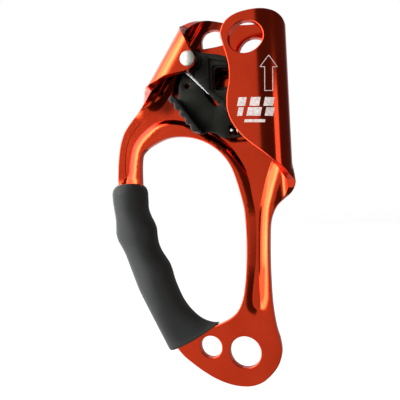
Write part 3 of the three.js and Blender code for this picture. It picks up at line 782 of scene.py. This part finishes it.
TRIGGER_EDGE = (
    arc(0, 0, 5.3, 20, 200, 24)
    + [(-5.8, -4.7), (-7.9, -10), (-8.2, -14.4), pad_point(0, 0.6), pad_point(1.2, FLANGE[1])]
    + [pad_point(PAD_LENGTH, FLANGE[1]), pad_point(PAD_LENGTH, 0), (7.8, -35.7), (10.1, -36.4), (14.2, -39.4)]
    + [(28.5, -39.4), (28.5, -32), (23.4, -31.2), (22.6, -25), (21.2, -19.6), (17.5, -17), (11.6, -16.4)]
    + [(8.2, -9.6)]
)
TEARDROP = [(4.8, -12.4), (9.4, -15.6), (12.4, -19.6), (12.4, -22.6), (10.4, -22.6), (6.6, -17.6)]
SPRING_BAY = [(17.5, -38.2), (27, -38.2), (27, -33.2), (17.5, -33.2)]
# The slot that the cam's guide pin runs in: its half width and its two ends in degrees from the pin.
SLOT_HALF = 1.55
SLOT_ENDS = (-0.3, 3.3)


def trigger_shells():
    """The lever plate with its holes, and the flange that carries the pad."""
    reach = math.hypot(*GUIDE_PIN)
    low, high = (math.degrees(math.atan2(GUIDE_PIN[1], GUIDE_PIN[0])) + end for end in SLOT_ENDS)
    slot = arc(0, 0, reach + SLOT_HALF, low, high, 6) + arc(0, 0, reach - SLOT_HALF, high, low, 6)
    holes = [
        ring(0, 0, BORE, 40),
        ring(-3.5, -11.2, 1.25, 24),
        spline(TEARDROP, 0.5, closed=True),
        softened(SPRING_BAY, 1),
        softened(slot, 2),
    ]
    inner, outer = FLANGE
    corners = ((1.2, outer), (PAD_LENGTH - 1, outer), (PAD_LENGTH, inner), (0.2, inner))
    flange = [pad_point(*corner) for corner in corners]
    return [
        rounded_plate(softened(TRIGGER_EDGE, 2), holes, TRIGGER_FRONT, TRIGGER_BACK, 0.35),
        rounded_plate(softened(flange, 1), [], FLANGE_FRONT, TRIGGER_BACK - 0.2, 0.3),
    ]


def pad_shell():
    """The thumb pad, with its ridges outermost."""
    edge = []
    for k in range(RIDGES):
        start = 0.2 + k * PAD_LENGTH / RIDGES
        profile = ((0, PAD_VALLEY), (0.7, PAD_TOP), (2.9, PAD_TOP), (3.7, PAD_VALLEY))
        edge += [pad_point(start + along, out) for along, out in profile]
    end = PAD_LENGTH - 0.2
    edge += [pad_point(end, PAD_VALLEY), pad_point(end, PAD_COVER), pad_point(0.4, PAD_COVER)]
    return rounded_plate(softened(edge, 4, 0.35), [], PAD_FRONT, PAD_BACK, 0.3)


# The rivet: its shank and seats, then each head's radius, dome height and where the dome starts.
SHANK, SEAT = 2.5, 11.3
HEAD, HEAD_DOME, HEAD_FACE = 3.8, 1.6, -11.8
TAIL, TAIL_DOME, TAIL_FACE = 3.5, 0.7, 11.7


def rivet_shell():
    """The rivet: a domed head in front, the shank, and a flatter formed head behind."""
    turns = np.linspace(0.02, math.pi / 2, 12)
    front = [(HEAD * math.sin(t), HEAD_FACE - HEAD_DOME * math.cos(t)) for t in turns]
    turns = np.linspace(math.pi / 2, 0.02, 10)
    back = [(TAIL * math.sin(t), TAIL_FACE + TAIL_DOME * math.cos(t)) for t in turns]
    shank = [(HEAD, -SEAT - 0.1), (HEAD - 0.15, -SEAT), (SHANK, -SEAT)]
    shank += [(SHANK, SEAT), (TAIL - 0.1, SEAT), (TAIL, SEAT + 0.1)]
    return lathed(front + shank + back, PIVOT)


def spring_curve(name, axis, centre, radius, turns, length, wire, material, sides=28):
    """A coil spring along X or Y, as a curve with round wire."""
    curve = bpy.data.curves.new(name, "CURVE")
    curve.dimensions = "3D"
    curve.bevel_depth = wire * MM
    curve.bevel_resolution = 3
    curve.use_fill_caps = True
    line = curve.splines.new("POLY")
    count = int(turns * sides)
    line.points.add(count)
    for k in range(count + 1):
        turn = 2 * math.pi * turns * k / count
        along = length * (k / count - 0.5)
        a, b = radius * math.cos(turn), radius * math.sin(turn)
        spot = (along, a, b) if axis == "x" else (a, along, b)
        line.points[k].co = (*((centre[i] + spot[i]) * MM for i in range(3)), 1)
    curve.materials.append(material)
    return linked(name, curve)


# The two coils: the middle, the radius, the turns, the length and the wire's radius.
RETURN_COIL = ((PIVOT[0] + 23.4, (TRIGGER_FRONT + TRIGGER_BACK) / 2, -35.7), 1.7, 4.5, 5, 0.33)
CAM_COIL = ((PIVOT[0], 5.85, 0), 5.1, 1.5, 1.5, 0.4)


# ---------- printed marks on the wing ----------
PRINT_LIFT = 0.03
PRINT_HALF = 0.02
OUTLINE_WIDTH = 0.3


def on_wing(points):
    """Places (x, z) of the wing's outer face, and its outward normals, for points seen from the front."""
    x, z = points[:, 0], points[:, 1]
    low, high = np.full(len(x), HALF_TURN / 2), np.full(len(x), HALF_TURN + 25)
    for _ in range(30):
        halfway = (low + high) / 2
        mid, normal, _, _ = sheet_frame(np.stack([halfway, z], axis=1))
        beyond = (mid - normal * SHEET / 2)[:, 0] > x
        low, high = np.where(beyond, halfway, low), np.where(beyond, high, halfway)
    return mid - normal * (SHEET / 2 + PRINT_LIFT), -normal


def print_outline(line, width):
    """A thin ribbon of ink along a closed run of points."""
    sides = [offset_loop(line, way * width / 2)[0] for way in (1, -1)]
    return np.vstack(sides), wrapped(2, len(line))


def print_patch(corners, steps=10):
    """A four-cornered patch of ink, split finely enough to follow the bend."""
    a, b, c, d = np.array(corners, float)
    shares = np.linspace(0, 1, steps + 1)
    u, v = (share.reshape(-1, 1) for share in np.meshgrid(shares, shares, indexing="ij"))
    flat = (a * (1 - u) + b * u) * (1 - v) + (d * (1 - u) + c * u) * v
    wide = steps + 1
    starts = [i * wide + k for i in range(steps) for k in range(steps)]
    return flat, [(m, m + wide, m + wide + 1, m + 1) for m in starts]


def printed(name, parts, material):
    """Ink shells laid on the wing's face: each a thin closed layer."""
    vertices, faces = [], []
    for flat, cells in parts:
        face, normal = on_wing(flat)
        count, start = len(flat), len(vertices)
        vertices += list(face + normal * PRINT_HALF) + list(face - normal * (PRINT_LIFT + PRINT_HALF))
        edges = {edge: True for cell in cells for edge in zip(cell, cell[1:] + cell[:1])}
        faces += [tuple(start + i for i in cell) for cell in cells]
        faces += [tuple(start + count + i for i in cell[::-1]) for cell in cells]
        for i, j in edges:
            if (j, i) not in edges:
                faces.append((start + j, start + i, start + count + i, start + count + j))
    obj = new_object(name, np.array(vertices) * MM, faces, material, False)
    face_outwards(obj)
    return obj


ARROW = [(3.6, -3.3), (7.1, -8.8), (5.1, -8.9), (4.6, -20.1), (1.0, -19.9), (1.5, -8.7), (-0.6, -8.5)]
# Plain slanted bars in place of the maker's lettering: (left, right, bottom, top).
BARS = [
    (-12.5, -7.6, -25.8, -21.7), (-6.6, -1.0, -25.8, -21.7), (0.0, 5.3, -25.8, -21.7),
    (-12.7, -9.2, -30.5, -26.5), (-8.2, -0.6, -30.5, -26.5), (0.4, 5.1, -30.5, -26.5),
    (-9.4, 0.7, -33.6, -32.2),
]
# How far a bar's ends slant, and how the rows slope down from ROW_START.
SLANT = 0.25
ROW_SLOPE, ROW_START = -0.092, -12.6


def wing_marks(material):
    """An outline arrow and rows of bars, as thin layers of ink."""
    parts = [print_outline(np.array(dense(ARROW, 0.4)), OUTLINE_WIDTH)]
    for left, right, bottom, top in BARS:
        slant = SLANT * (top - bottom)
        corners = [(left, bottom), (right - slant, bottom), (right, top), (left + slant, top)]
        parts.append(print_patch([(x, z + ROW_SLOPE * (x - ROW_START)) for x, z in corners]))
    return printed("wing_marks", parts, material)


# ---------- materials ----------
def new_material(name, kind="ShaderNodeBsdfPrincipled"):
    """A material with one shader of the kind; its node tree and that shader."""
    material = bpy.data.materials.new(name)
    material.use_nodes = True
    tree = material.node_tree
    tree.nodes.clear()
    output = tree.nodes.new("ShaderNodeOutputMaterial")
    shader = tree.nodes.new(kind)
    tree.links.new(shader.outputs[0], output.inputs["Surface"])
    return material, tree, shader


def noise(tree, scale, detail=3.0, stretch=(1, 1, 1)):
    """Object-space noise; its Fac output."""
    place = tree.nodes.new("ShaderNodeTexCoord")
    mapping = tree.nodes.new("ShaderNodeMapping")
    mapping.inputs["Scale"].default_value = stretch
    texture = tree.nodes.new("ShaderNodeTexNoise")
    texture.inputs["Scale"].default_value = scale
    texture.inputs["Detail"].default_value = detail
    tree.links.new(place.outputs["Object"], mapping.inputs["Vector"])
    tree.links.new(mapping.outputs["Vector"], texture.inputs["Vector"])
    return texture.outputs["Fac"]


def object_axes(tree):
    """The X, Y and Z of object space, in metres."""
    place = tree.nodes.new("ShaderNodeTexCoord")
    split = tree.nodes.new("ShaderNodeSeparateXYZ")
    tree.links.new(place.outputs["Object"], split.inputs["Vector"])
    return [split.outputs[axis] for axis in "XYZ"]


def ramp(tree, value, low, high, start=0.3, end=0.7):
    """A colour that runs from low at start to high at end."""
    node = tree.nodes.new("ShaderNodeValToRGB")
    for element, place, colour in zip(node.color_ramp.elements, (start, end), (low, high)):
        element.position = place
        element.color = (*colour, 1)
    tree.links.new(value, node.inputs["Fac"])
    return node.outputs["Color"]


def map_range(tree, value, low, high, start=0.0, end=1.0, kind="SMOOTHSTEP"):
    """The value's range from low to high, mapped to start to end."""
    node = tree.nodes.new("ShaderNodeMapRange")
    node.interpolation_type = kind
    for socket, number in (("From Min", low), ("From Max", high), ("To Min", start), ("To Max", end)):
        node.inputs[socket].default_value = number
    tree.links.new(value, node.inputs["Value"])
    return node.outputs["Result"]


def calculate(tree, operation, a, b):
    """A maths node of two values, each a number or an output."""
    node = tree.nodes.new("ShaderNodeMath")
    node.operation = operation
    for socket, value in zip(node.inputs, (a, b)):
        if isinstance(value, (int, float)):
            socket.default_value = value
        else:
            tree.links.new(value, socket)
    return node.outputs[0]


def times(tree, a, b):
    return calculate(tree, "MULTIPLY", a, b)


def band(tree, value, low, high, soft):
    """1 between low and high, falling to 0 over soft on both sides."""
    rise = map_range(tree, value, low - soft / 2, low + soft / 2)
    fall = map_range(tree, value, high - soft / 2, high + soft / 2, 1, 0)
    return times(tree, rise, fall)


def mottled(tree, shader, scale, low, high, detail=3.0, stretch=(1, 1, 1)):
    """Gives the shader a base colour that drifts between two; the noise it follows."""
    cloud = noise(tree, scale, detail, stretch)
    tree.links.new(ramp(tree, cloud, low, high), shader.inputs["Base Color"])
    return cloud


def rough(tree, shader, grain, low, high):
    """Spreads the shader's roughness from low to high by the grain."""
    tree.links.new(map_range(tree, grain, 0, 1, low, high, "LINEAR"), shader.inputs["Roughness"])


def bump(tree, shader, height, strength, distance):
    node = tree.nodes.new("ShaderNodeBump")
    node.inputs["Strength"].default_value = strength
    node.inputs["Distance"].default_value = distance
    tree.links.new(height, node.inputs["Height"])
    tree.links.new(node.outputs["Normal"], shader.inputs["Normal"])


# Where painted shade darkens the ear's inside, in metres: past the bend line and down along it, and in depth.
FOLD_SIDES = ((-0.009, -0.001), (0.0074, 0.0079))
FOLD_DEPTHS = ((-0.0083, -0.0079), (0.0079, 0.0083))
FOLD_ENDS = (0.05, 0.06)
# How dark the painted shade makes the dye inside the bend.
FOLD_SHADE = 0.3


def fold_shade_mask(tree):
    """1 where painted shade darkens the inner faces of the ear's bend, fading to 0 on the back plate beside
    it.
    """
    x, y, z = object_axes(tree)

    def measured(way):
        a = times(tree, x, float(way[0]))
        b = times(tree, z, float(way[1]))
        return calculate(tree, "SUBTRACT", calculate(tree, "ADD", a, b), float(FOLD_TOP @ way) * MM)

    side, down = measured(FOLD_SIDE), measured(FOLD_ALONG)
    amount = map_range(tree, side, *FOLD_SIDES[0])
    near, far = FOLD_DEPTHS
    for value, ends, start in ((side, FOLD_SIDES[1], 1), (y, near, 0), (y, far, 1), (down, FOLD_ENDS, 1)):
        amount = times(tree, amount, map_range(tree, value, *ends, start, 1 - start))
    return amount


def anodised(name):
    """Bright-dipped aluminium under a clear red-orange dye, with painted shade inside the ear's bend."""
    material, tree, shader = new_material(name)
    dye = ramp(tree, noise(tree, 60, 4), (0.58, 0.036, 0.008), (0.66, 0.047, 0.012))
    # painted shade: the dye is scaled down on the inner faces of the ear's bend
    fold_shaded_dye = tree.nodes.new("ShaderNodeVectorMath")
    fold_shaded_dye.operation = "SCALE"
    tree.links.new(dye, fold_shaded_dye.inputs[0])
    tree.links.new(map_range(tree, fold_shade_mask(tree), 0, 1, 1, FOLD_SHADE), fold_shaded_dye.inputs["Scale"])
    tree.links.new(fold_shaded_dye.outputs["Vector"], shader.inputs["Base Color"])
    grain = noise(tree, 900, 2)
    rough(tree, shader, grain, 0.11, 0.16)
    bump(tree, shader, grain, 0.02, 0.00002)
    shader.inputs["Metallic"].default_value = 1.0
    shader.inputs["Coat Weight"].default_value = 0.1
    shader.inputs["Coat Roughness"].default_value = 0.12
    return material


def blackened(name, low, high, roughness, metallic, gloss=0.5):
    """Dark steel or plastic with slight mottling."""
    material, tree, shader = new_material(name)
    mottled(tree, shader, 150, low, high, 4)
    grain = noise(tree, 1400, 2)
    rough(tree, shader, grain, roughness - 0.06, roughness + 0.08)
    bump(tree, shader, grain, 0.25, 0.00005)
    shader.inputs["Metallic"].default_value = metallic
    shader.inputs["Specular IOR Level"].default_value = gloss
    return material


def bare_metal(name, low, high, roughness):
    """Metal with faint streaks across Z."""
    material, tree, shader = new_material(name)
    streak = mottled(tree, shader, 500, low, high, 3, (1, 1, 6))
    rough(tree, shader, streak, roughness - 0.05, roughness + 0.08)
    shader.inputs["Metallic"].default_value = 1.0
    return material


def rubber(name):
    """Moulded rubber with a fine matt grain."""
    material, tree, shader = new_material(name)
    mottled(tree, shader, 90, (0.007, 0.0085, 0.0075), (0.012, 0.014, 0.0125))
    grain = noise(tree, 2600, 2)
    rough(tree, shader, grain, 0.5, 0.66)
    bump(tree, shader, grain, 0.5, 0.00012)
    shader.inputs["Specular IOR Level"].default_value = 0.26
    return material


def ink(name):
    """Pale print, a little worn."""
    material, tree, shader = new_material(name)
    wear = ramp(tree, noise(tree, 700, 3), (0.42, 0.33, 0.31), (0.56, 0.5, 0.48), 0.35, 0.6)
    tree.links.new(wear, shader.inputs["Base Color"])
    shader.inputs["Roughness"].default_value = 0.45
    return material


ORANGE = anodised("orange_anodised_aluminium")
INK = ink("pale_print")
BLACK_STEEL = blackened("black_steel", (0.006, 0.006, 0.0045), (0.0105, 0.0103, 0.008), 0.42, 0.85)
PAD_PLASTIC = blackened("black_plastic", (0.005, 0.0053, 0.005), (0.008, 0.0085, 0.008), 0.24, 0.0, 0.22)
BRIGHT = bare_metal("bright_steel", (0.40, 0.405, 0.375), (0.48, 0.485, 0.45), 0.6)
SPRING = bare_metal("spring_steel", (0.5, 0.5, 0.5), (0.64, 0.64, 0.63), 0.3)
# painted highlight: lighter steel for the bright strip along the cam cheek's edge
HIGHLIGHT_STEEL = bare_metal("highlight_steel", (0.24, 0.245, 0.25), (0.36, 0.365, 0.37), 0.4)
BRONZE = bare_metal("bronze", (0.42, 0.28, 0.11), (0.52, 0.36, 0.16), 0.36)
RUBBER = rubber("black_rubber")


# ---------- pieces ----------
def place_piece(obj, body, node=None):
    """Lets a piece ride a body, in place of a CAD node where one is given."""
    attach(obj, body)
    if node:
        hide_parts(node)


place_piece(frame_sheet(ORANGE), "frame", "frame_plate")
place_piece(wing_marks(INK), "frame")
place_piece(rubber_grip(RUBBER), "frame", "handle_grip")
place_piece(merged("cam_plates", cam_shells(), BLACK_STEEL), "cam", "cam_body")
# the cam cheek's painted highlight strip
place_piece(merged("cam_worn_edge", [highlight_edge()], HIGHLIGHT_STEEL), "cam")
place_piece(merged("trigger_plate", trigger_shells(), BLACK_STEEL), "trigger", "trigger_lever")
place_piece(merged("ridged_pad", [pad_shell()], PAD_PLASTIC), "trigger", "trigger_thumb_pad")
place_piece(merged("domed_rivet", [rivet_shell()], BRIGHT), "frame", "cam_pivot_rivet")
return_coil = spring_curve("return_coil", "x", *RETURN_COIL, SPRING)
place_piece(return_coil, "trigger", "trigger_return_spring")
cam_coil = spring_curve("cam_coil", "y", *CAM_COIL, SPRING)
place_piece(cam_coil, "frame", "cam_torsion_spring")

NODE_MATERIALS = {
    "cam_pivot_bush": BRONZE,
    "cam_front_washer": BLACK_STEEL,
    "cam_back_washer": BLACK_STEEL,
    "trigger_guide_pin": BLACK_STEEL,
    "spring_seat_pin": BRIGHT,
}
for node_name, material in NODE_MATERIALS.items():
    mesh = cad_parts[node_name].data
    mesh.materials.clear()
    mesh.materials.append(material)


# ---------- floor, light and camera, in metres ----------
FLOOR_Z, FLOOR_HALF = -0.19, 4
TARGET = (-0.036, 0, -0.07)
KEY_PLACE, KEY_SIZE, KEY_WATTS = (-0.7, -0.45, 0.2), (0.5, 0.8), 6
TENT_RADIUS, TENT_BOTTOM, TENT_TOP, TENT_SIDES = 2.5, -5.0, 8.0, 96
# Soft boxes round the object: (from, to) in degrees round it, the same in height, edge blur, strength.
# Round is 0 towards the viewer, and positive to the right. TENT_BASE is the tent's strength between them.
SOFT_BOXES = [
    ((-200, -4.5), (-60, 75), 3, 0.66),
    ((-150, -30), (-45, 60), 6, 2.6),
    ((-51, -33.5), (-30, 45), 7, 6.5),
    ((44, 67), (-50, 15), 5, 2.1),
    ((150, 178), (-60, 70), 12, 0.3),
]
TENT_BASE = 0.09


def pale_floor():
    material, _, shader = new_material("pale_floor")
    shader.inputs["Base Color"].default_value = (0.985, 0.985, 0.985, 1)
    shader.inputs["Roughness"].default_value = 0.9
    corners = [(x * FLOOR_HALF, y * FLOOR_HALF, 0) for x, y in ((-1, -1), (1, -1), (1, 1), (-1, 1))]
    floor = new_object("floor", corners, [(0, 1, 2, 3)], material, False)
    floor.location = (0, 0, FLOOR_Z)
    floor.visible_glossy = False


def tent_material():
    """Soft boxes, by their directions from the middle of the tent."""
    material, tree, glow = new_material("light_tent", "ShaderNodeEmission")
    x, y, z = object_axes(tree)
    towards = times(tree, y, -1.0)
    around = times(tree, calculate(tree, "ARCTAN2", x, towards), 180 / math.pi)
    height = times(tree, calculate(tree, "ARCTAN2", z, TENT_RADIUS), 180 / math.pi)
    total = TENT_BASE
    for (start, end), (bottom, top), soft, strength in SOFT_BOXES:
        across, upright = band(tree, around, start, end, soft), band(tree, height, bottom, top, soft)
        box = times(tree, times(tree, across, upright), strength)
        total = calculate(tree, "ADD", total, box)
    tree.links.new(total, glow.inputs["Strength"])
    return material


def light_tent():
    """A wall of light round the object that its metal mirrors, and that lights and hides nothing else."""
    wall = ring(0, 0, TENT_RADIUS, TENT_SIDES)
    corners = [(x, y, z) for z in (TENT_BOTTOM, TENT_TOP) for x, y in wall]
    faces = wrapped(2, TENT_SIDES)
    tent = new_object("light_tent", corners, faces, tent_material(), False)
    tent.location = TARGET
    tent.visible_camera = False
    tent.visible_diffuse = False
    tent.visible_shadow = False
    tent.visible_transmission = False


def key_light():
    light = bpy.data.lights.new("key", "AREA")
    light.shape = "RECTANGLE"
    light.size, light.size_y = KEY_SIZE
    light.energy = KEY_WATTS
    obj = linked("key", light)
    obj.location = KEY_PLACE
    obj.rotation_euler = (Vector(TARGET) - Vector(KEY_PLACE)).to_track_quat("-Z", "Y").to_euler()


pale_floor()
light_tent()
key_light()
world = bpy.data.worlds.new("studio")
world.use_nodes = True
world.node_tree.nodes["Background"].inputs["Color"].default_value = (1, 1, 1, 1)
world.node_tree.nodes["Background"].inputs["Strength"].default_value = 1.0
bpy.context.scene.world = world

CAMERA_PLACE = (0.02992, -0.23099, -0.07278)
CAMERA_RIGHT, CAMERA_UP = (0.96011, 0.27564, -0.04696), (0.04885, 0.0, 0.99881)
CAMERA_AHEAD = (-0.27531, 0.96126, 0.01346)
camera_data = bpy.data.cameras.new("camera")
camera_data.lens = 42.2
camera_data.sensor_width = 36
camera_data.clip_start = 0.01
camera = linked("camera", camera_data)
camera_rows = zip(CAMERA_RIGHT, CAMERA_UP, CAMERA_AHEAD, CAMERA_PLACE)
camera.matrix_world = Matrix([(x, y, -z, place) for x, y, z, place in camera_rows] + [(0, 0, 0, 1)])
bpy.context.scene.camera = camera
bpy.context.scene.view_settings.view_transform = "Standard"
